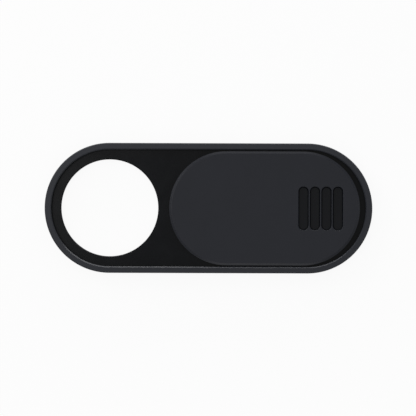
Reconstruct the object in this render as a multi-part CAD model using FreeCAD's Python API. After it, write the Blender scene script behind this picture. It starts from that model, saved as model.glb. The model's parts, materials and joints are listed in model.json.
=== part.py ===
"""Sliding webcam cover: a moulded frame with a lens hole, a shutter that slides in it and an adhesive pad.

+X runs along the cover, from the end with the lens hole to the end where the shutter is parked, +Y runs
across it and +Z points away from the screen bezel that the cover is stuck to. The origin is at the middle
of the pad's sticky face. The shutter is drawn open, clear of the lens hole.
"""

import FreeCAD, Part
import os
from math import hypot

Vector = FreeCAD.Vector

# Driving dimensions, in millimetres
# Frame: a stadium-shaped tray with a floor, a rim and a lip that overhangs a groove on each straight side
FRAME_LENGTH = 18.0
FRAME_WIDTH = 7.14
FLOOR_THICKNESS = 0.25
RIM_WIDTH = 0.36
LIP_THICKNESS = 0.27
LIP_CHAMFER = 0.06
RIM_OUTER_ROUND = 0.08
FOOT_CHAMFER = 0.05
LENS_HOLE_DIAMETER = 5.33
LENS_HOLE_CHAMFER = 0.05

# Shutter: a stadium plate with a tongue along each straight side, and grip slots near its free end
SHUTTER_LENGTH = 10.47
SHUTTER_BEVEL_WIDTH = 0.12
SHUTTER_BEVEL_DROP = 0.04
TONGUE_END_INSET = 0.10
TONGUE_THICKNESS = 0.20
TONGUE_OVERLAP = 0.10
TONGUE_LEAD_IN = 0.06
TONGUE_CORNER_ROUND = 0.08
GRIP_SLOT_COUNT = 4
GRIP_SLOT_LENGTH = 2.40
GRIP_SLOT_WIDTH = 0.553
GRIP_RIDGE_WIDTH = 0.077
GRIP_SLOT_DEPTH = 0.15
GRIP_SLOT_DRAFT = 0.05
GRIP_EDGE_MARGIN = 0.93

# Clearances between the shutter and the frame
SIDE_CLEARANCE = 0.08
SLIDE_CLEARANCE = 0.03
TONGUE_TIP_CLEARANCE = 0.05
STOP_CLEARANCE = 0.02
PARKED_END_GAP = 0.325

# Adhesive pad: die-cut smaller than the frame's back, with a hole that clears the lens hole
PAD_THICKNESS = 0.12
PAD_INSET = 0.20
PAD_HOLE_MARGIN = 0.20

# Sizes that follow from the driving dimensions
pocket_length = FRAME_LENGTH - 2 * RIM_WIDTH
pocket_width = FRAME_WIDTH - 2 * RIM_WIDTH
shutter_width = pocket_width - 2 * SIDE_CLEARANCE
tongue_length = SHUTTER_LENGTH - shutter_width - 2 * TONGUE_END_INSET
parked_x = (pocket_length - SHUTTER_LENGTH) / 2 - PARKED_END_GAP
travel = 2 * parked_x
lens_x = (FRAME_WIDTH - FRAME_LENGTH) / 2

# Heights above the sticky face
frame_bottom = PAD_THICKNESS
floor_top = frame_bottom + FLOOR_THICKNESS
tongue_bottom = floor_top + SLIDE_CLEARANCE
tongue_top = tongue_bottom + TONGUE_THICKNESS
lip_bottom = tongue_top + SLIDE_CLEARANCE
frame_top = lip_bottom + LIP_THICKNESS
shutter_top = frame_top

# Two lengths closer than this are the same when edges are looked up by their place
SAME_PLACE = 1e-4


def stadium_wire(length, width, centre_x, height):
    """A closed outline at one height, with two straight sides along X and half-round ends."""
    radius = width / 2
    reach = (length - width) / 2
    left, right = centre_x - reach, centre_x + reach
    outline = [
        Part.LineSegment(Vector(left, -radius, height), Vector(right, -radius, height)),
        Part.Arc(
            Vector(right, -radius, height),
            Vector(right + radius, 0, height),
            Vector(right, radius, height),
        ),
        Part.LineSegment(Vector(right, radius, height), Vector(left, radius, height)),
        Part.Arc(
            Vector(left, radius, height),
            Vector(left - radius, 0, height),
            Vector(left, -radius, height),
        ),
    ]
    return Part.Wire([curve.toShape() for curve in outline])


def stadium(length, width, centre_x, bottom, top):
    """A plate with a stadium outline and upright walls, between two heights."""
    outline = stadium_wire(length, width, centre_x, bottom)
    return Part.Face(outline).extrude(Vector(0, 0, top - bottom))


def block(length, width, centre_x, bottom, top):
    """A box centred on the X axis, between two heights."""
    corner = Vector(centre_x - length / 2, -width / 2, bottom)
    return Part.makeBox(length, width, top - bottom, corner)


def rim_edges(shape, length, width, centre_x, height):
    """The edges of a stadium outline of that size that lie at one height of a shape."""
    reach = (length - width) / 2
    found = []
    for edge in shape.Edges:
        middle = edge.valueAt((edge.FirstParameter + edge.LastParameter) / 2)
        past_spine = max(abs(middle.x - centre_x) - reach, 0.0)
        on_outline = abs(hypot(past_spine, middle.y) - width / 2) < SAME_PLACE
        if on_outline and abs(middle.z - height) < SAME_PLACE:
            found.append(edge)
    return found


def lens_hole():
    """The cutter for the lens hole, with a flare that breaks its upper edge."""
    radius = LENS_HOLE_DIAMETER / 2
    centre = Vector(lens_x, 0, frame_bottom)
    up = Vector(0, 0, 1)
    bore = Part.makeCylinder(radius, FLOOR_THICKNESS, centre, up)
    flare_base = Vector(lens_x, 0, floor_top - LENS_HOLE_CHAMFER)
    flare = Part.makeCone(radius, radius + LENS_HOLE_CHAMFER, LENS_HOLE_CHAMFER, flare_base, up)
    return bore.fuse(flare)


def make_frame():
    """The frame: a plate hollowed into a tray, with a groove cut under the lip of each straight side."""
    tray = stadium(FRAME_LENGTH, FRAME_WIDTH, 0, frame_bottom, frame_top)
    pocket = stadium(pocket_length, pocket_width, 0, floor_top, frame_top)
    groove_length = tongue_length + travel + 2 * STOP_CLEARANCE
    groove_width = pocket_width + 2 * (TONGUE_OVERLAP + TONGUE_TIP_CLEARANCE)
    grooves = block(groove_length, groove_width, 0, floor_top, lip_bottom)
    tray = tray.cut([pocket, grooves, lens_hole()])
    tray = tray.makeFillet(
        RIM_OUTER_ROUND, rim_edges(tray, FRAME_LENGTH, FRAME_WIDTH, 0, frame_top)
    )
    tray = tray.makeChamfer(
        LIP_CHAMFER, rim_edges(tray, pocket_length, pocket_width, 0, frame_top)
    )
    return tray.makeChamfer(
        FOOT_CHAMFER, rim_edges(tray, FRAME_LENGTH, FRAME_WIDTH, 0, frame_bottom)
    )


def tongues():
    """The strip that stands out of both sides of the shutter, with round corners and a lead-in below."""
    width = shutter_width + 2 * (SIDE_CLEARANCE + TONGUE_OVERLAP)
    strip = block(tongue_length, width, parked_x, tongue_bottom, tongue_top)
    upright = [edge for edge in strip.Edges if abs(edge.tangentAt(edge.FirstParameter).z) > 0.5]
    strip = strip.makeFillet(TONGUE_CORNER_ROUND, upright)
    lower_sides = [
        edge
        for edge in strip.Edges
        if abs(edge.CenterOfMass.z - tongue_bottom) < SAME_PLACE
        and abs(abs(edge.CenterOfMass.y) - width / 2) < SAME_PLACE
    ]
    return strip.makeChamfer(TONGUE_LEAD_IN, lower_sides)


def grip_slots():
    """The cutters for the row of grip slots: stadiums across the shutter, each narrower at its floor."""
    pitch = GRIP_SLOT_WIDTH + GRIP_RIDGE_WIDTH
    last_x = parked_x + SHUTTER_LENGTH / 2 - GRIP_EDGE_MARGIN - GRIP_SLOT_WIDTH / 2
    slot_bottom = shutter_top - GRIP_SLOT_DEPTH
    floor_length = GRIP_SLOT_LENGTH - 2 * GRIP_SLOT_DRAFT
    floor_width = GRIP_SLOT_WIDTH - 2 * GRIP_SLOT_DRAFT
    slots = []
    for number in range(GRIP_SLOT_COUNT):
        floor = stadium_wire(floor_length, floor_width, 0, slot_bottom)
        mouth = stadium_wire(GRIP_SLOT_LENGTH, GRIP_SLOT_WIDTH, 0, shutter_top)
        slot = Part.makeLoft([floor, mouth], True, True)
        slot.rotate(Vector(0, 0, 0), Vector(0, 0, 1), 90)
        slot.translate(Vector(last_x - number * pitch, 0, 0))
        slots.append(slot)
    return slots


def make_shutter():
    """The shutter: a stadium plate with a shallow bevel round its face, its tongues and its grip slots."""
    plate = stadium(SHUTTER_LENGTH, shutter_width, parked_x, tongue_bottom, shutter_top)
    upper = rim_edges(plate, SHUTTER_LENGTH, shutter_width, parked_x, shutter_top)
    plate = plate.makeChamfer(SHUTTER_BEVEL_DROP, SHUTTER_BEVEL_WIDTH, upper)
    return plate.fuse(tongues()).removeSplitter().cut(grip_slots())


def make_adhesive_pad():
    """The adhesive pad: a thin stadium with a hole that leaves the lens hole clear."""
    length = FRAME_LENGTH - 2 * PAD_INSET
    width = FRAME_WIDTH - 2 * PAD_INSET
    sheet = stadium(length, width, 0, 0, PAD_THICKNESS)
    hole_radius = LENS_HOLE_DIAMETER / 2 + PAD_HOLE_MARGIN
    return sheet.cut(Part.makeCylinder(hole_radius, PAD_THICKNESS, Vector(lens_x, 0, 0)))


def main():
    """Writes one STEP file for each piece and prints the travel and the overall height."""
    pieces = {
        "frame": make_frame(),
        "shutter": make_shutter(),
        "adhesive_pad": make_adhesive_pad(),
    }
    os.makedirs("parts", exist_ok=True)
    for name, shape in pieces.items():
        print(name, shape.ShapeType, len(shape.Solids), shape.isValid(), round(shape.Volume, 3))
        shape.exportStep(os.path.join("parts", name + ".step"))
    print("shutter travel", round(travel, 3), "overall height", round(shutter_top, 3))


main()
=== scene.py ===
"""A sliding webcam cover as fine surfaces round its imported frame, with a small studio stage.

The cover is a moulded frame with a lens hole, a shutter that slides over the hole and an adhesive pad.
All lengths are in metres: +X runs from the lens hole to the parked shutter, +Z away from the sticky face.
"""

import json
import math

import bmesh
import bpy
import numpy as np
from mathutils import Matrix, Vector


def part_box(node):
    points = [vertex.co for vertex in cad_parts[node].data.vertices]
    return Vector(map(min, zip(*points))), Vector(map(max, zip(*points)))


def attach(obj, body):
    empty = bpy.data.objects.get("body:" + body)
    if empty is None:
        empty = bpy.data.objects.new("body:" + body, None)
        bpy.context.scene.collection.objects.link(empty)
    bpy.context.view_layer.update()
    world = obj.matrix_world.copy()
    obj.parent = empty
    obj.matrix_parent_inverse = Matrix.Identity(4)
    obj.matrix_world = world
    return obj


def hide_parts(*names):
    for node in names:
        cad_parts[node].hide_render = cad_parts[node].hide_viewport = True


bl_info = {
    "name": "Sliding Webcam Cover",
    "version": (1, 0, 0),
    "blender": (4, 5, 0),
    "location": "View3D > Sidebar > Webcam Cover",
    "description": "Builds a sliding webcam cover round its packed frame, on a small studio stage",
    "category": "Add Mesh",
}

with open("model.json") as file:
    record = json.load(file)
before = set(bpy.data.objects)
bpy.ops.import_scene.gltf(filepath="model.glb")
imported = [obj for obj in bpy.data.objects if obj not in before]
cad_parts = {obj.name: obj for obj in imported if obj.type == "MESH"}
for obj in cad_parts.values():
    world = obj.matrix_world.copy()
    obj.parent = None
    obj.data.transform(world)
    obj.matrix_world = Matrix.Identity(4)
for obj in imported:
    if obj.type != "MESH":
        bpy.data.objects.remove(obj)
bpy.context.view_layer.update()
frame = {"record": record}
FRAME_LOW, FRAME_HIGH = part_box("frame")
SHUTTER_LOW, SHUTTER_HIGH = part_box("shutter")
LENS_HOLE = next(mount for mount in frame["record"]["mounts"] if mount["name"] == "lens_hole")

MM = 0.001
MICRON = 0.000001

LENS_RADIUS = LENS_HOLE["dims"]["r_mm"] * MM
LENS_X = LENS_HOLE["pos_m"][0]
FRAME_REACH = (FRAME_HIGH.x - FRAME_LOW.x - FRAME_HIGH.y + FRAME_LOW.y) / 2

# Facets: steps round the outlines and the small rounds, and the strip that keeps a flat face flat
HALF_TURN = np.linspace(-0.5 * np.pi, 0.5 * np.pi, 121)
ROUND_STEPS = 8
GROOVE_STEPS = 100
BEYOND_GROOVE_STEPS = 8
SLOT_SIDE_STEPS = 16
SLOT_CAP_STEPS = 24
ROW_STEPS = 128
SHUTTER_CORNER_STEPS = 40
FLOOR_STEPS = 64
FLAT_STRIP = 0.004 * MM

# Meshes: points nearer than the weld distance become one, and an edge past the angle stays sharp
WELD_DISTANCE = 0.00001 * MM
SHARP_ANGLE = math.radians(30)

# Finishes: their places in a moulding's list of materials. The polished one, on the recessed tray and grip
# slots, has a darker colour with painted shade in it
GRAINED, POLISHED_AND_SHADED, RUBBED = range(3)

# Noise: nearly all the values of a noise texture lie in this span
NOISE_SPAN = (0.3, 0.7)

# Floor: how far it stays below the sticky face, so that the two don't share a plane
FLOOR_GAP = 0.005 * MM

# Softboxes: the place of each, and its width and height, in millimetres
SOFTBOXES = {
    "key": ((-78, 62, 60), (45, 45)),
    "left": ((-50, 12, 110), (30, 30)),
    "right": ((115, 0, 96), (60, 60)),
    "near": ((0, -88, 122), (60, 60)),
    "far": ((0, 88, 122), (60, 60)),
    "tray": ((-30, 10, 110), (30, 30)),
    "rake": ((25, 230, 35), (400, 50)),
}

# Photograph: the width of its square frame, and the cover's length and middle on it, in pixels
IMAGE_PIXELS = 416
OUTLINE_PIXELS = 327.9
OUTLINE_MIDDLE = (208.48, 208.18)


def srgb(hex_code):
    """The linear colour of an sRGB hex code such as "#2C2D31"."""
    channels = [int(hex_code[i : i + 2], 16) / 255 for i in (1, 3, 5)]
    return tuple(c / 12.92 if c <= 0.04045 else ((c + 0.055) / 1.055) ** 2.4 for c in channels)


# White light, for the lit paper and the room, with the fourth channel that a socket takes
WHITE = (*srgb("#FFFFFF"), 1.0)


def length(name, millimetres, description):
    """A length property, given in millimetres."""
    return bpy.props.FloatProperty(
        name=name,
        description=description,
        default=millimetres * MM,
        subtype="DISTANCE",
        unit="LENGTH",
        precision=5,
    )


def colour(name, hex_code, description):
    """A colour property, given as an sRGB hex code."""
    return bpy.props.FloatVectorProperty(
        name=name,
        description=description,
        default=srgb(hex_code),
        size=3,
        min=0.0,
        max=1.0,
        subtype="COLOR",
    )


def roughness(name, share, description):
    """A surface's roughness property, from 0 for a mirror to 1."""
    return bpy.props.FloatProperty(
        name=name, description=description, default=share, min=0.0, max=1.0, subtype="FACTOR"
    )


def power(name, watts, description):
    """A lamp's power property, in watts."""
    return bpy.props.FloatProperty(name=name, description=description, default=watts, unit="POWER")


class FrameSettings(bpy.types.PropertyGroup):
    """Sizes, colours and finishes of the moulded frame."""

    floor_thickness: length("Floor", 0.25, "Thickness of the floor under the shutter")
    rim_width: length("Rim", 0.36, "Width of the rim, from its outer wall to the pocket's wall")
    rim_fall: length("Rim fall", 0.02, "How much the rim's face falls towards its outer edge")
    lip_thickness: length("Lip", 0.27, "Thickness of the lip that overhangs the groove")
    lip_chamfer: length("Lip chamfer", 0.06, "Broken edge on the inside of the rim")
    outer_round: length("Outer round", 0.08, "Radius of the rim's outer upper edge")
    foot_chamfer: length("Foot chamfer", 0.05, "Broken edge round the frame's back")
    hole_chamfer: length("Hole chamfer", 0.05, "Broken upper edge of the lens hole")
    groove_depth: length("Groove depth", 0.15, "Depth of the guide groove under each lip")
    groove_length: length("Groove length", 10.21, "Length of a guide groove, from stop to stop")
    rim_colour: colour("Rim", "#26282E", "Spark-eroded plastic of the rim and the outer wall")
    rim_roughness: roughness("Rim roughness", 0.47, "Mean roughness of the spark-eroded rim")
    edge_roughness: roughness("Edge roughness", 0.28, "Mean roughness of the rim's rubbed edge")
    # The tray's colour is darker than the rim's: black plastic with painted shade in the recessed pocket
    tray_colour_and_shade: colour("Tray", "#030509", "Polished plastic of the tray and the lens hole")
    tray_roughness: roughness("Tray roughness", 0.21, "Mean roughness of the polished tray")


class ShutterSettings(bpy.types.PropertyGroup):
    """Sizes, colours and finishes of the shutter."""

    bevel_width: length("Bevel width", 0.12, "Width of the shallow bevel round the shutter's face")
    bevel_drop: length("Bevel drop", 0.04, "Fall of the bevel towards the shutter's wall")
    tongue_reach: length("Tongue reach", 0.18, "How far the tongues stand out of the straight sides")
    tongue_inset: length("Tongue inset", 0.10, "From the end of a straight side to its tongue")
    tongue_thickness: length("Tongue", 0.20, "Thickness of the tongues")
    tongue_corner: length("Tongue corner", 0.08, "Radius of the tongues' corners")
    tongue_lead_in: length("Tongue lead-in", 0.06, "Chamfer under the tongues")
    slot_count: bpy.props.IntProperty(
        name="Slots", description="Number of grip slots", default=4, min=1, max=8
    )
    slot_length: length("Slot length", 2.40, "Length of a grip slot")
    slot_width: length("Slot width", 0.553, "Width of a grip slot")
    slot_depth: length("Slot depth", 0.15, "Depth of a grip slot")
    slot_draft: length("Slot draft", 0.05, "How far a grip slot's wall leans in towards its floor")
    slot_edge: length("Slot edge", 0.03, "Radius of a grip slot's upper edge")
    ridge_width: length("Ridge", 0.077, "Width of the ridge between two grip slots")
    slot_margin: length("Slot margin", 0.93, "From the last grip slot to the shutter's free end")
    face_colour: colour("Face", "#1C1E25", "Spark-eroded plastic of the shutter")
    face_roughness: roughness("Face roughness", 0.6, "Mean roughness of the spark-eroded face")
    edge_roughness: roughness("Edge roughness", 0.28, "Mean roughness of the rubbed edges")
    # The slots' colour is darker than the face's: black plastic with painted shade in the recessed slots
    slot_colour_and_shade: colour("Slots", "#080A0F", "Polished plastic of the grip slots")
    slot_roughness: roughness("Slot roughness", 0.39, "Mean roughness of the grip slots")


class PadSettings(bpy.types.PropertyGroup):
    """Sizes and colour of the adhesive pad."""

    inset: length("Inset", 0.20, "From the frame's edge to the pad's edge")
    hole_margin: length("Hole margin", 0.20, "From the lens hole's edge to the pad's own hole")
    cut_edge: length("Cut edge", 0.02, "Broken edge that the die leaves")
    tape_colour: colour("Tape", "#1B1B1C", "Black acrylic foam of the pad")


class StageSettings(bpy.types.PropertyGroup):
    """Floor, light and camera of the stage."""

    floor_colour: colour("Floor", "#F4F4F4", "Seamless paper under the cover")
    floor_radius: length("Floor radius", 1500, "Radius of the round floor")
    key_power: power("Key", 0.03, "Softbox at the far left, halfway up")
    left_power: power("Left", 0.0068, "Softbox high on the left, which the left side of the rim mirrors")
    right_power: power("Right", 0.0047, "Softbox high on the right, which the right bevel mirrors")
    near_power: power("Near", 0.0122, "Softbox high on the near side, which the near bevel mirrors")
    far_power: power("Far", 0.0114, "Softbox high on the far side, which the far bevel mirrors")
    tray_power: power("Tray", 0.005, "Small softbox overhead, which the tray mirrors beside the hole")
    rake_power: power("Rake", 0.415, "Strip softbox low on the far side, which rakes across the cover")
    room_light: bpy.props.FloatProperty(
        name="Room", description="Strength of the even light from all round", default=0.435
    )
    focal_length: bpy.props.FloatProperty(
        name="Lens", description="Focal length of the camera", default=300.0, unit="CAMERA"
    )
    camera_roll: bpy.props.FloatProperty(
        name="Roll",
        description="Turn of the camera about its own line of sight",
        default=math.radians(0.2),
        subtype="ANGLE",
        unit="ROTATION",
    )


def stadium_path(centre_x, reach, turn, along):
    """The path round a stadium, anticlockwise from its lower right: spine points and outward normals.

    On the half circles the spine point rests at an end of the spine while the normal takes the angles in
    turn, from -90 to 90 degrees on the right one. On the straight sides the normal stays across while the
    spine point visits the places in along, which run from the right end of the spine to the left one.
    The left and lower half is the other one turned half round.
    """
    side = along[1:-1]
    end, level = np.full(len(turn), reach), np.zeros(len(side))
    spine_x = centre_x + np.concatenate([end, side, -end, -side])
    normal_x = np.concatenate([np.cos(turn), level, -np.cos(turn), level])
    normal_y = np.concatenate([np.sin(turn), level + 1, -np.sin(turn), level - 1])
    return np.stack([spine_x, np.zeros(len(spine_x))], axis=1), np.stack([normal_x, normal_y], axis=1)


def on_sides(turn, values):
    """Values along the two straight sides of a stadium path, and nothing on its half circles."""
    half = np.concatenate([np.zeros(len(turn)), values[1:-1]])
    return np.concatenate([half, half])


def carried(path, distance, height):
    """A section carried along a path: each row stands off the spine by distance, along the normal there.

    distance holds one value for each row and station, or for each row, and height one for each row.
    """
    spine, normal = path
    plan = spine + np.broadcast_to(distance, (len(height), len(spine)))[:, :, None] * normal
    level = np.broadcast_to(np.asarray(height)[:, None, None], (*plan.shape[:2], 1))
    return np.concatenate([plan, level], axis=2)


def hole_rows(path, outline, centre_x, section):
    """Circles of a round hole, each station on the line from the hole's middle to the path's outline."""
    spine, normal = path
    sight = spine + outline * normal - (centre_x, 0)
    sight /= np.linalg.norm(sight, axis=1)[:, None]
    return carried((np.full_like(spine, (centre_x, 0)), sight), section[:, :1], section[:, 1])


def upper_round(wall, top, across, down, lean):
    """A quarter ellipse from a wall up to the face above it, with a narrow flat strip before and after it.

    Rows of (distance, height): lean -1 draws in from an outer wall, and 1 draws back from a hole's wall.
    """
    turn = np.linspace(0, 0.5 * np.pi, ROUND_STEPS + 1)
    curve = np.stack([wall + lean * across * (1 - np.cos(turn)), top - down * (1 - np.sin(turn))], axis=1)
    before = (wall, top - down - FLAT_STRIP)
    after = (wall + lean * (across + FLAT_STRIP), top)
    return np.vstack([before, curve, after])


def upper_bevel(wall, top, across, down):
    """A bevel from an outer wall up to the face above it, with narrow strips that soften its upper edge.

    Rows of (distance, height): the fall is in proportion to the distance past the bevel's upper edge.
    """
    inset = np.concatenate([[0], across + FLAT_STRIP * np.array([-2, -1, 1, 2])])
    return np.stack([wall - inset, top - down * np.maximum(1 - inset / across, 0)], axis=1)


def grid_faces(rows, stations, closed_section):
    """The quads of a grid that is closed along its stations, and along its rows too if the section is."""
    spans = rows if closed_section else rows - 1
    row, station = np.meshgrid(np.arange(spans), np.arange(stations), indexing="ij")
    after, beside = (row + 1) % rows, (station + 1) % stations
    corners = ((row, station), (row, beside), (after, beside), (after, station))
    return np.stack([r * stations + s for r, s in corners], axis=2).reshape(-1, 4)


def make_piece(name, grids, materials):
    """Joins grids into one closed mesh object.

    grids holds (points, closed section, finish of each span of rows). Points that coincide are welded,
    which closes the seams between the grids and takes out the faces that a step leaves empty.
    """
    points, faces, finishes = [], [], []
    first = 0
    for grid, closed_section, finish in grids:
        rows, stations = grid.shape[:2]
        points.append(grid.reshape(-1, 3))
        faces.append(first + grid_faces(rows, stations, closed_section))
        finishes.append(np.repeat(finish, stations))
        first += rows * stations
    mesh = bpy.data.meshes.new(name)
    mesh.from_pydata(np.concatenate(points), [], np.concatenate(faces))
    for material in materials:
        mesh.materials.append(material)
    mesh.polygons.foreach_set("material_index", np.concatenate(finishes).astype(np.int32))
    shell = bmesh.new()
    shell.from_mesh(mesh)
    bmesh.ops.remove_doubles(shell, verts=shell.verts, dist=WELD_DISTANCE)
    bmesh.ops.recalc_face_normals(shell, faces=shell.faces)
    open_edges = sum(not edge.is_manifold for edge in shell.edges)
    shell.to_mesh(mesh)
    shell.free()
    if open_edges:
        raise RuntimeError(f"{name} isn't a closed surface: {open_edges} edges are open")
    mesh.shade_smooth()
    mesh.set_sharp_from_angle(angle=SHARP_ANGLE)
    piece = bpy.data.objects.new(name, mesh)
    bpy.context.scene.collection.objects.link(piece)
    return piece


def add_node(tree, kind, inputs=None, **settings):
    """Adds a node, makes its own settings, and sets or links each input that is named."""
    node = tree.nodes.new(kind)
    for key, value in settings.items():
        setattr(node, key, value)
    for key, value in (inputs or {}).items():
        if isinstance(value, bpy.types.NodeSocket):
            tree.links.new(value, node.inputs[key])
        else:
            node.inputs[key].default_value = value
    return node


def new_material(name):
    """A material with an empty node tree, and its Object coordinates."""
    material = bpy.data.materials.new(name)
    material.use_nodes = True
    material.node_tree.nodes.clear()
    place = add_node(material.node_tree, "ShaderNodeTexCoord").outputs["Object"]
    return material, material.node_tree, place


def shaded(tree, base, pattern, span, shares):
    """The base colour times a share, which runs between two shares as the pattern runs through a span."""
    share = add_node(
        tree,
        "ShaderNodeMapRange",
        {
            "Value": pattern,
            "From Min": span[0],
            "From Max": span[1],
            "To Min": shares[0],
            "To Max": shares[1],
        },
    )
    tint = add_node(
        tree, "ShaderNodeVectorMath", {0: base, "Scale": share.outputs["Result"]}, operation="SCALE"
    )
    return tint.outputs["Vector"]


def spark_eroded_abs(name, base, mean_roughness):
    """ABS moulded against a spark-eroded tool: a fine even grain that greys the black and blurs gloss.

    Where fingers rub an edge it is less rough, and the edge catches a thin line of light. The real grain
    is about 0.02 mm wide, and is drawn coarser here so that it shows.
    """
    grain_width = 0.06 * MM
    grain_height = 1.2 * MICRON
    mottle_width = 1.5 * MM
    spread = 0.05
    material, tree, place = new_material(name)
    grain = add_node(
        tree,
        "ShaderNodeTexNoise",
        {"Vector": place, "Scale": 1 / grain_width, "Detail": 3.0, "Roughness": 0.6},
    )
    mottle = add_node(
        tree, "ShaderNodeTexNoise", {"Vector": place, "Scale": 1 / mottle_width, "Detail": 2.0}
    )
    gloss = add_node(
        tree,
        "ShaderNodeMapRange",
        {
            "Value": grain.outputs["Fac"],
            "From Min": NOISE_SPAN[0],
            "From Max": NOISE_SPAN[1],
            "To Min": mean_roughness - spread,
            "To Max": mean_roughness + spread,
        },
    )
    relief = add_node(
        tree, "ShaderNodeBump", {"Height": grain.outputs["Fac"], "Distance": grain_height, "Strength": 1.0}
    )
    surface = add_node(
        tree,
        "ShaderNodeBsdfPrincipled",
        {
            "Base Color": shaded(tree, base, mottle.outputs["Fac"], NOISE_SPAN, (0.96, 1.04)),
            "Roughness": gloss.outputs["Result"],
            "IOR": 1.52,
            "Specular IOR Level": 0.28,
            "Normal": relief.outputs["Normal"],
        },
    )
    add_node(tree, "ShaderNodeOutputMaterial", {"Surface": surface.outputs["BSDF"]})
    return material


def polished_abs(name, base, mean_roughness):
    """ABS moulded against a polished tool: an even gloss and a trace of flow in it, on a deep black that is
    partly painted shade in its base colour.
    """
    flow_width = 0.9 * MM
    spread = 0.03
    material, tree, place = new_material(name)
    flow = add_node(
        tree,
        "ShaderNodeTexNoise",
        {"Vector": place, "Scale": 1 / flow_width, "Detail": 4.0, "Distortion": 0.6},
    )
    gloss = add_node(
        tree,
        "ShaderNodeMapRange",
        {
            "Value": flow.outputs["Fac"],
            "From Min": NOISE_SPAN[0],
            "From Max": NOISE_SPAN[1],
            "To Min": mean_roughness - spread,
            "To Max": mean_roughness + spread,
        },
    )
    surface = add_node(
        tree,
        "ShaderNodeBsdfPrincipled",
        {
            "Base Color": shaded(tree, base, flow.outputs["Fac"], NOISE_SPAN, (0.95, 1.05)),
            "Roughness": gloss.outputs["Result"],
            "IOR": 1.52,
            "Specular IOR Level": 0.19,
        },
    )
    add_node(tree, "ShaderNodeOutputMaterial", {"Surface": surface.outputs["BSDF"]})
    return material


def acrylic_foam_tape(name, base):
    """Double-sided acrylic foam tape: soft black with tiny closed cells and a tacky, slightly wet sheen."""
    cell_width = 0.08 * MM
    cell_depth = 3 * MICRON
    material, tree, place = new_material(name)
    cells = add_node(tree, "ShaderNodeTexVoronoi", {"Vector": place, "Scale": 1 / cell_width})
    relief = add_node(
        tree,
        "ShaderNodeBump",
        {"Height": cells.outputs["Distance"], "Distance": cell_depth, "Strength": 1.0},
    )
    # The base colour follows the cells' relief: painted shade in their pits and a painted highlight on
    # their rims
    surface = add_node(
        tree,
        "ShaderNodeBsdfPrincipled",
        {
            "Base Color": shaded(tree, base, cells.outputs["Distance"], (0.0, 0.7), (0.8, 1.15)),
            "Roughness": 0.42,
            "IOR": 1.47,
            "Normal": relief.outputs["Normal"],
        },
    )
    add_node(tree, "ShaderNodeOutputMaterial", {"Surface": surface.outputs["BSDF"]})
    return material


def seamless_paper(name, base):
    """White seamless paper: matt, and bright as a lit backdrop to the camera and in reflections.

    The rest of what the camera sees of it is paper in the lamps' light, so the cover's shadow stays on it.
    Its fibres are drawn coarser than real ones, which are too fine to show.
    """
    backdrop_share = 0.92
    fibre_width = 0.4 * MM
    material, tree, place = new_material(name)
    fibre = add_node(
        tree, "ShaderNodeTexNoise", {"Vector": place, "Scale": 1 / fibre_width, "Detail": 3.0}
    )
    tint = shaded(tree, base, fibre.outputs["Fac"], NOISE_SPAN, (0.985, 1.0))
    paper = add_node(tree, "ShaderNodeBsdfDiffuse", {"Color": tint})
    lit = add_node(tree, "ShaderNodeEmission", {"Color": WHITE, "Strength": 1.0})
    ray = add_node(tree, "ShaderNodeLightPath").outputs
    seen = add_node(
        tree, "ShaderNodeMath", {0: ray["Is Camera Ray"], 1: ray["Is Glossy Ray"]}, operation="MAXIMUM"
    )
    shown = add_node(
        tree,
        "ShaderNodeMath",
        {0: seen.outputs["Value"], 1: ray["Is Transmission Ray"]},
        operation="MAXIMUM",
    )
    share = add_node(
        tree, "ShaderNodeMath", {0: shown.outputs["Value"], 1: backdrop_share}, operation="MULTIPLY"
    )
    mix = add_node(
        tree,
        "ShaderNodeMixShader",
        {"Fac": share.outputs["Value"], 1: paper.outputs["BSDF"], 2: lit.outputs["Emission"]},
    )
    add_node(tree, "ShaderNodeOutputMaterial", {"Surface": mix.outputs["Shader"]})
    return material


def frame_path(groove_length, groove_depth):
    """The path round the frame's spine, and the groove's depth at each of its stations.

    Both ends of a groove have two stations in the same place, one with the groove and one without.
    """
    stop = groove_length / 2
    beyond = np.linspace(FRAME_REACH, stop, BEYOND_GROOVE_STEPS)
    along = np.concatenate([beyond, np.linspace(stop, -stop, GROOVE_STEPS), -beyond[::-1]])
    bare = np.zeros(BEYOND_GROOVE_STEPS)
    depth = np.concatenate([bare, np.full(GROOVE_STEPS, groove_depth), bare])
    return stadium_path(0.0, FRAME_REACH, HALF_TURN, along), on_sides(HALF_TURN, depth)


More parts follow.
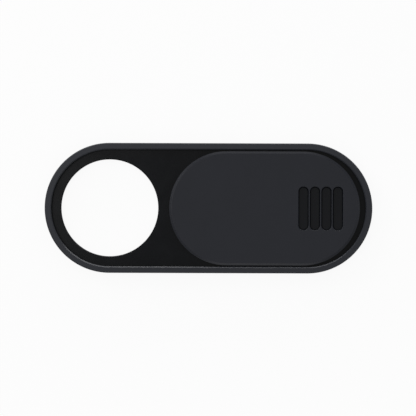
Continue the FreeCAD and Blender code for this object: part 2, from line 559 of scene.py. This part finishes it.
class WEBCAM_COVER_OT_frame(bpy.types.Operator):
    """Build the frame: a section of wall, rim, lip and groove carried round, closed onto the lens hole"""

    bl_idname = "webcam_cover.frame"
    bl_label = "Frame"

    def execute(self, context):
        s = context.scene.webcam_cover_frame
        path, groove = frame_path(s.groove_length, s.groove_depth)
        outer, pocket = FRAME_HIGH.y, FRAME_HIGH.y - s.rim_width
        back, top = FRAME_LOW.z, FRAME_HIGH.z
        floor, lip = back + s.floor_thickness, top - s.lip_thickness
        # Outside: the foot chamfer, the wall, the outer round, and the rim's face up to the lip
        shell = np.vstack(
            [
                (outer - s.foot_chamfer, back),
                (outer, back + s.foot_chamfer),
                upper_round(outer, top - s.rim_fall, s.outer_round, s.outer_round, -1),
                (pocket + s.lip_chamfer, top),
            ]
        )
        # Inside: the lip chamfer, the lip, and the wall down to the floor, set back in the groove
        inside = np.array(
            [(pocket, top - s.lip_chamfer), (pocket, lip), (pocket, lip), (pocket, floor), (pocket, floor)]
        )
        in_groove = np.array([0, 0, 1, 1, 0])
        # Lens hole: the broken edge, and the wall down to the back
        hole = np.array(
            [
                (LENS_RADIUS + s.hole_chamfer, floor),
                (LENS_RADIUS, floor - s.hole_chamfer),
                (LENS_RADIUS, back),
            ]
        )
        grid = np.concatenate(
            [
                carried(path, shell[:, :1], shell[:, 1]),
                carried(path, inside[:, :1] + in_groove[:, None] * groove, inside[:, 1]),
                hole_rows(path, pocket, LENS_X, hole),
            ]
        )
        finish = np.full(len(grid), GRAINED)
        finish[len(shell) - 1] = RUBBED
        # The tray, the pocket's walls and the lens hole take the polished finish, whose darker colour is
        # painted shade
        finish[len(shell) : -1] = POLISHED_AND_SHADED
        materials = [
            spark_eroded_abs("ABS, spark-eroded, rim", s.rim_colour, s.rim_roughness),
            polished_abs("ABS, polished, tray", s.tray_colour_and_shade, s.tray_roughness),
            spark_eroded_abs("ABS, rubbed, rim edge", s.rim_colour, s.edge_roughness),
        ]
        piece = make_piece("cover_frame", [(grid, True, finish)], materials)
        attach(piece, "frame")
        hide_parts("frame")
        return {"FINISHED"}


def slot_path(straight, half_width, half_length, top_steps):
    """The path round a slot's spine, across the cover, and each station's distance to its cell's edge.

    A station on a straight side looks straight at the side of the cell. One on a half circle looks along
    its normal, and stations stand at the cell's corners. The second half is the first turned half round.
    """
    past_spine = half_length - straight
    corner = math.atan2(past_spine, half_width)
    level = np.linspace(-straight, straight, SLOT_SIDE_STEPS, endpoint=False)
    turn = np.concatenate(
        [
            np.linspace(0, corner, SLOT_CAP_STEPS, endpoint=False),
            np.linspace(corner, math.pi - corner, top_steps, endpoint=False),
            np.linspace(math.pi - corner, math.pi, SLOT_CAP_STEPS, endpoint=False),
        ]
    )
    tiny = np.finfo(float).tiny
    to_side = half_width / np.maximum(np.abs(np.cos(turn)), tiny)
    to_top = past_spine / np.maximum(np.sin(turn), tiny)
    spine_y = np.concatenate([level, np.full(len(turn), straight)])
    spine = np.stack([np.zeros(len(spine_y)), spine_y], axis=1)
    angle = np.concatenate([np.zeros(len(level)), turn])
    normal = np.stack([np.cos(angle), np.sin(angle)], axis=1)
    look = np.concatenate([np.full(len(level), half_width), np.minimum(to_side, to_top)])
    path = np.concatenate([spine, -spine]), np.concatenate([normal, -normal])
    return path, np.concatenate([look, look])


def shutter_path(settings, centre_x, reach, level, row_steps):
    """The path round the shutter's spine, and how far the tongues stand out at each of its stations.

    A tongue ends in a step, with two stations in the same place, and then a quarter circle in plan. On the
    half circles the angles from -level to level face the row of slots, and the rest lie past its corners.
    A long side has row_steps from level to level, corners and all, as many as the row has along its top.
    """
    quarter = np.linspace(0, 0.5 * np.pi, ROUND_STEPS + 1)
    end, corner = reach - settings.tongue_inset, settings.tongue_corner
    corner_x = end - corner * (1 - np.cos(quarter))
    corner_out = settings.tongue_reach - corner * (1 - np.sin(quarter))
    first_x = np.concatenate([[reach, end], corner_x])
    first_out = np.concatenate([[0, 0], corner_out])
    side_stations = row_steps - 2 * SHUTTER_CORNER_STEPS + 1
    middle = side_stations - 2 * len(first_x)
    middle_x = np.linspace(first_x[-1], -first_x[-1], middle + 2)[1:-1]
    along = np.concatenate([first_x, middle_x, -first_x[::-1]])
    stands_out = np.concatenate([first_out, np.full(middle, settings.tongue_reach), first_out[::-1]])
    past = np.linspace(level, 0.5 * np.pi, SHUTTER_CORNER_STEPS + 1)
    facing = np.linspace(-level, level, SLOT_SIDE_STEPS + 2 * SLOT_CAP_STEPS + 1)
    turn = np.concatenate([-past[::-1], facing[1:-1], past])
    return stadium_path(centre_x, reach, turn, along), on_sides(turn, stands_out)


def row_outline(cells):
    """The outline round a row of cells, anticlockwise, with its stations in step with the shutter's path.

    cells holds the points of each cell's edge, from the left cell to the right one. A cell's stations
    start on its right side, where the slot's spine starts, and go round anticlockwise.
    """
    half_round = cells.shape[1] // 2
    corner = SLOT_SIDE_STEPS + SLOT_CAP_STEPS
    next_corner = half_round - SLOT_CAP_STEPS
    right = np.concatenate([cells[-1, half_round + next_corner :], cells[-1, : corner + 1]])
    top = cells[::-1, corner:next_corner].reshape(-1, 3)[1:]
    left = cells[0, next_corner : half_round + corner + 1]
    bottom = cells[:, half_round + corner : half_round + next_corner].reshape(-1, 3)[1:]
    return np.roll(np.concatenate([right, top, left, bottom]), SHUTTER_CORNER_STEPS, axis=0)


class WEBCAM_COVER_OT_shutter(bpy.types.Operator):
    """Build the shutter: a bevelled plate with tongues, round a row of cells that each hold a grip slot"""

    bl_idname = "webcam_cover.shutter"
    bl_label = "Shutter"

    def execute(self, context):
        s = context.scene.webcam_cover_shutter
        bottom, top = SHUTTER_LOW.z, SHUTTER_HIGH.z

        # Cell: its oblong edge, then the slot's round edge, its leaning wall and its floor
        radius, pitch = s.slot_width / 2, s.slot_width + s.ridge_width
        straight = s.slot_length / 2 - radius
        cell_reach = s.slot_length / 2 + s.ridge_width
        top_steps = ROW_STEPS // s.slot_count
        path, look = slot_path(straight, pitch / 2, cell_reach, top_steps)
        slot = np.vstack(
            [
                upper_round(radius, top, s.slot_edge, s.slot_edge, 1)[::-1],
                (radius - s.slot_draft, top - s.slot_depth),
                (0, top - s.slot_depth),
            ]
        )
        one_cell = np.concatenate(
            [carried(path, look[None], [top]), carried(path, slot[:, :1], slot[:, 1])]
        )
        last_x = SHUTTER_HIGH.x - s.slot_margin - radius
        middles = [(last_x - pitch * place, 0, 0) for place in reversed(range(s.slot_count))]
        cells = np.stack([one_cell + middle for middle in middles])
        cell_finish = np.full(len(slot), RUBBED)
        cell_finish[0] = GRAINED
        # The slot's wall and floor take the polished finish, whose darker colour is painted shade
        cell_finish[-2:] = POLISHED_AND_SHADED

        # Plate: from the row's outline over the face and bevel, round the tongues, and in along the back
        half_width = SHUTTER_HIGH.y - s.tongue_reach
        reach = (SHUTTER_HIGH.x - SHUTTER_LOW.x) / 2 - half_width
        edge = upper_bevel(half_width, top, s.bevel_width, s.bevel_drop)[::-1]
        level = math.asin(cell_reach / edge[0, 0])
        centre_x = (SHUTTER_LOW.x + SHUTTER_HIGH.x) / 2
        path, tongue = shutter_path(s, centre_x, reach, level, top_steps * s.slot_count)
        tongue_top = bottom + s.tongue_thickness
        side_height = [tongue_top, tongue_top, bottom + s.tongue_lead_in, bottom, bottom]
        flush = np.zeros(len(tongue))
        lead_in = np.where(tongue > 0, s.tongue_lead_in, 0)
        side = half_width + np.stack([flush, tongue, tongue, tongue - lead_in, flush])
        plate = np.concatenate(
            [
                row_outline(cells[:, 0])[None],
                carried(path, edge[:, :1], edge[:, 1]),
                carried(path, side, side_height),
                carried(path, np.zeros((1, 1)), [bottom]),
            ]
        )
        grids = [(cell, False, cell_finish) for cell in cells]
        plate_finish = np.full(len(plate) - 1, GRAINED)
        plate_finish[1 : len(edge)] = RUBBED
        grids.append((plate, False, plate_finish))
        materials = [
            spark_eroded_abs("ABS, spark-eroded, shutter", s.face_colour, s.face_roughness),
            polished_abs("ABS, polished, grip slots", s.slot_colour_and_shade, s.slot_roughness),
            spark_eroded_abs("ABS, rubbed, shutter edges", s.face_colour, s.edge_roughness),
        ]
        piece = make_piece("cover_shutter", grids, materials)
        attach(piece, "shutter")
        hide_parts("shutter")
        return {"FINISHED"}


class WEBCAM_COVER_OT_pad(bpy.types.Operator):
    """Build the adhesive pad: a thin die-cut section carried round, closed onto the pad's own round hole"""

    bl_idname = "webcam_cover.pad"
    bl_label = "Adhesive pad"

    def execute(self, context):
        s = context.scene.webcam_cover_pad
        top = FRAME_LOW.z
        outer, hole = FRAME_HIGH.y - s.inset, LENS_RADIUS + s.hole_margin
        # The same upright edge, broken above and below, goes round the outline and round the hole
        along = np.linspace(FRAME_REACH, -FRAME_REACH, GROOVE_STEPS)
        path = stadium_path(0.0, FRAME_REACH, HALF_TURN, along)
        cut = np.array([(-s.cut_edge, 0), (0, s.cut_edge), (0, top - s.cut_edge), (-s.cut_edge, top)])
        edge = cut + (outer, 0)
        bore = (cut * (-1, 1) + (hole, 0))[::-1]
        grid = np.concatenate(
            [carried(path, edge[:, :1], edge[:, 1]), hole_rows(path, outer, LENS_X, bore)]
        )
        materials = [acrylic_foam_tape("Acrylic foam tape", s.tape_colour)]
        piece = make_piece("cover_adhesive_pad", [(grid, True, np.zeros(len(grid)))], materials)
        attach(piece, "frame")
        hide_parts("adhesive_pad")
        return {"FINISHED"}


def add_softbox(name, place_mm, size_mm, watts):
    """An oblong softbox that faces the cover, with its place, width and height in millimetres."""
    lamp = bpy.data.lights.new(name, "AREA")
    lamp.shape = "RECTANGLE"
    lamp.size, lamp.size_y = (side * MM for side in size_mm)
    lamp.energy = watts
    softbox = bpy.data.objects.new(name, lamp)
    softbox.location = Vector(place_mm) * MM
    softbox.rotation_euler = softbox.location.to_track_quat("Z", "Y").to_euler()
    softbox.visible_camera = False
    bpy.context.scene.collection.objects.link(softbox)


class WEBCAM_COVER_OT_stage(bpy.types.Operator):
    """Build the stage: a round paper floor, seven softboxes, even room light and the camera overhead"""

    bl_idname = "webcam_cover.stage"
    bl_label = "Stage"

    def execute(self, context):
        s = context.scene.webcam_cover_stage
        scene = context.scene
        turn = np.linspace(0, 2 * np.pi, FLOOR_STEPS, endpoint=False)
        circle = s.floor_radius * np.stack([np.cos(turn), np.sin(turn), 0 * turn], axis=1)
        mesh = bpy.data.meshes.new("floor")
        mesh.from_pydata(circle - (0, 0, FLOOR_GAP), [], [list(range(FLOOR_STEPS))])
        mesh.materials.append(seamless_paper("Seamless paper", s.floor_colour))
        floor = bpy.data.objects.new("floor", mesh)
        scene.collection.objects.link(floor)

        for name, (place_mm, size_mm) in SOFTBOXES.items():
            add_softbox(name, place_mm, size_mm, getattr(s, f"{name}_power"))
        world = bpy.data.worlds.new("room")
        world.use_nodes = True
        sky = world.node_tree.nodes["Background"].inputs
        sky["Color"].default_value = WHITE
        sky["Strength"].default_value = s.room_light
        scene.world = world

        pixel = (FRAME_HIGH.x - FRAME_LOW.x) / OUTLINE_PIXELS
        lens = bpy.data.cameras.new("camera")
        lens.lens = s.focal_length
        away = IMAGE_PIXELS * pixel * lens.lens / lens.sensor_width
        camera = bpy.data.objects.new("camera", lens)
        right, down = (middle - IMAGE_PIXELS / 2 for middle in OUTLINE_MIDDLE)
        camera.location = (-right * pixel, down * pixel, FRAME_HIGH.z + away)
        camera.rotation_euler = (0.0, 0.0, s.camera_roll)
        scene.collection.objects.link(camera)
        scene.camera = camera
        scene.view_settings.view_transform = "Standard"
        return {"FINISHED"}


class WEBCAM_COVER_PT_panel(bpy.types.Panel):
    """The cover's pieces and its stage, with the settings of each"""

    bl_label = "Webcam Cover"
    bl_idname = "WEBCAM_COVER_PT_panel"
    bl_space_type = "VIEW_3D"
    bl_region_type = "UI"
    bl_category = "Webcam Cover"

    def draw(self, context):
        for operator, settings, owner in PIECES:
            box = self.layout.box()
            box.operator(operator.bl_idname)
            for name in settings.__annotations__:
                box.prop(getattr(context.scene, owner), name)


PIECES = (
    (WEBCAM_COVER_OT_frame, FrameSettings, "webcam_cover_frame"),
    (WEBCAM_COVER_OT_shutter, ShutterSettings, "webcam_cover_shutter"),
    (WEBCAM_COVER_OT_pad, PadSettings, "webcam_cover_pad"),
    (WEBCAM_COVER_OT_stage, StageSettings, "webcam_cover_stage"),
)


def register():
    """Registers the settings, the operators and the panel."""
    for operator, settings, owner in PIECES:
        bpy.utils.register_class(settings)
        setattr(bpy.types.Scene, owner, bpy.props.PointerProperty(type=settings))
        bpy.utils.register_class(operator)
    bpy.utils.register_class(WEBCAM_COVER_PT_panel)


def unregister():
    """Takes the panel, the operators and the settings out again."""
    bpy.utils.unregister_class(WEBCAM_COVER_PT_panel)
    for operator, settings, owner in reversed(PIECES):
        bpy.utils.unregister_class(operator)
        delattr(bpy.types.Scene, owner)
        bpy.utils.unregister_class(settings)


def main():
    """Builds the cover and its stage."""
    register()
    bpy.ops.webcam_cover.frame()
    bpy.ops.webcam_cover.shutter()
    bpy.ops.webcam_cover.pad()
    bpy.ops.webcam_cover.stage()


if __name__ == "__main__":
    main()
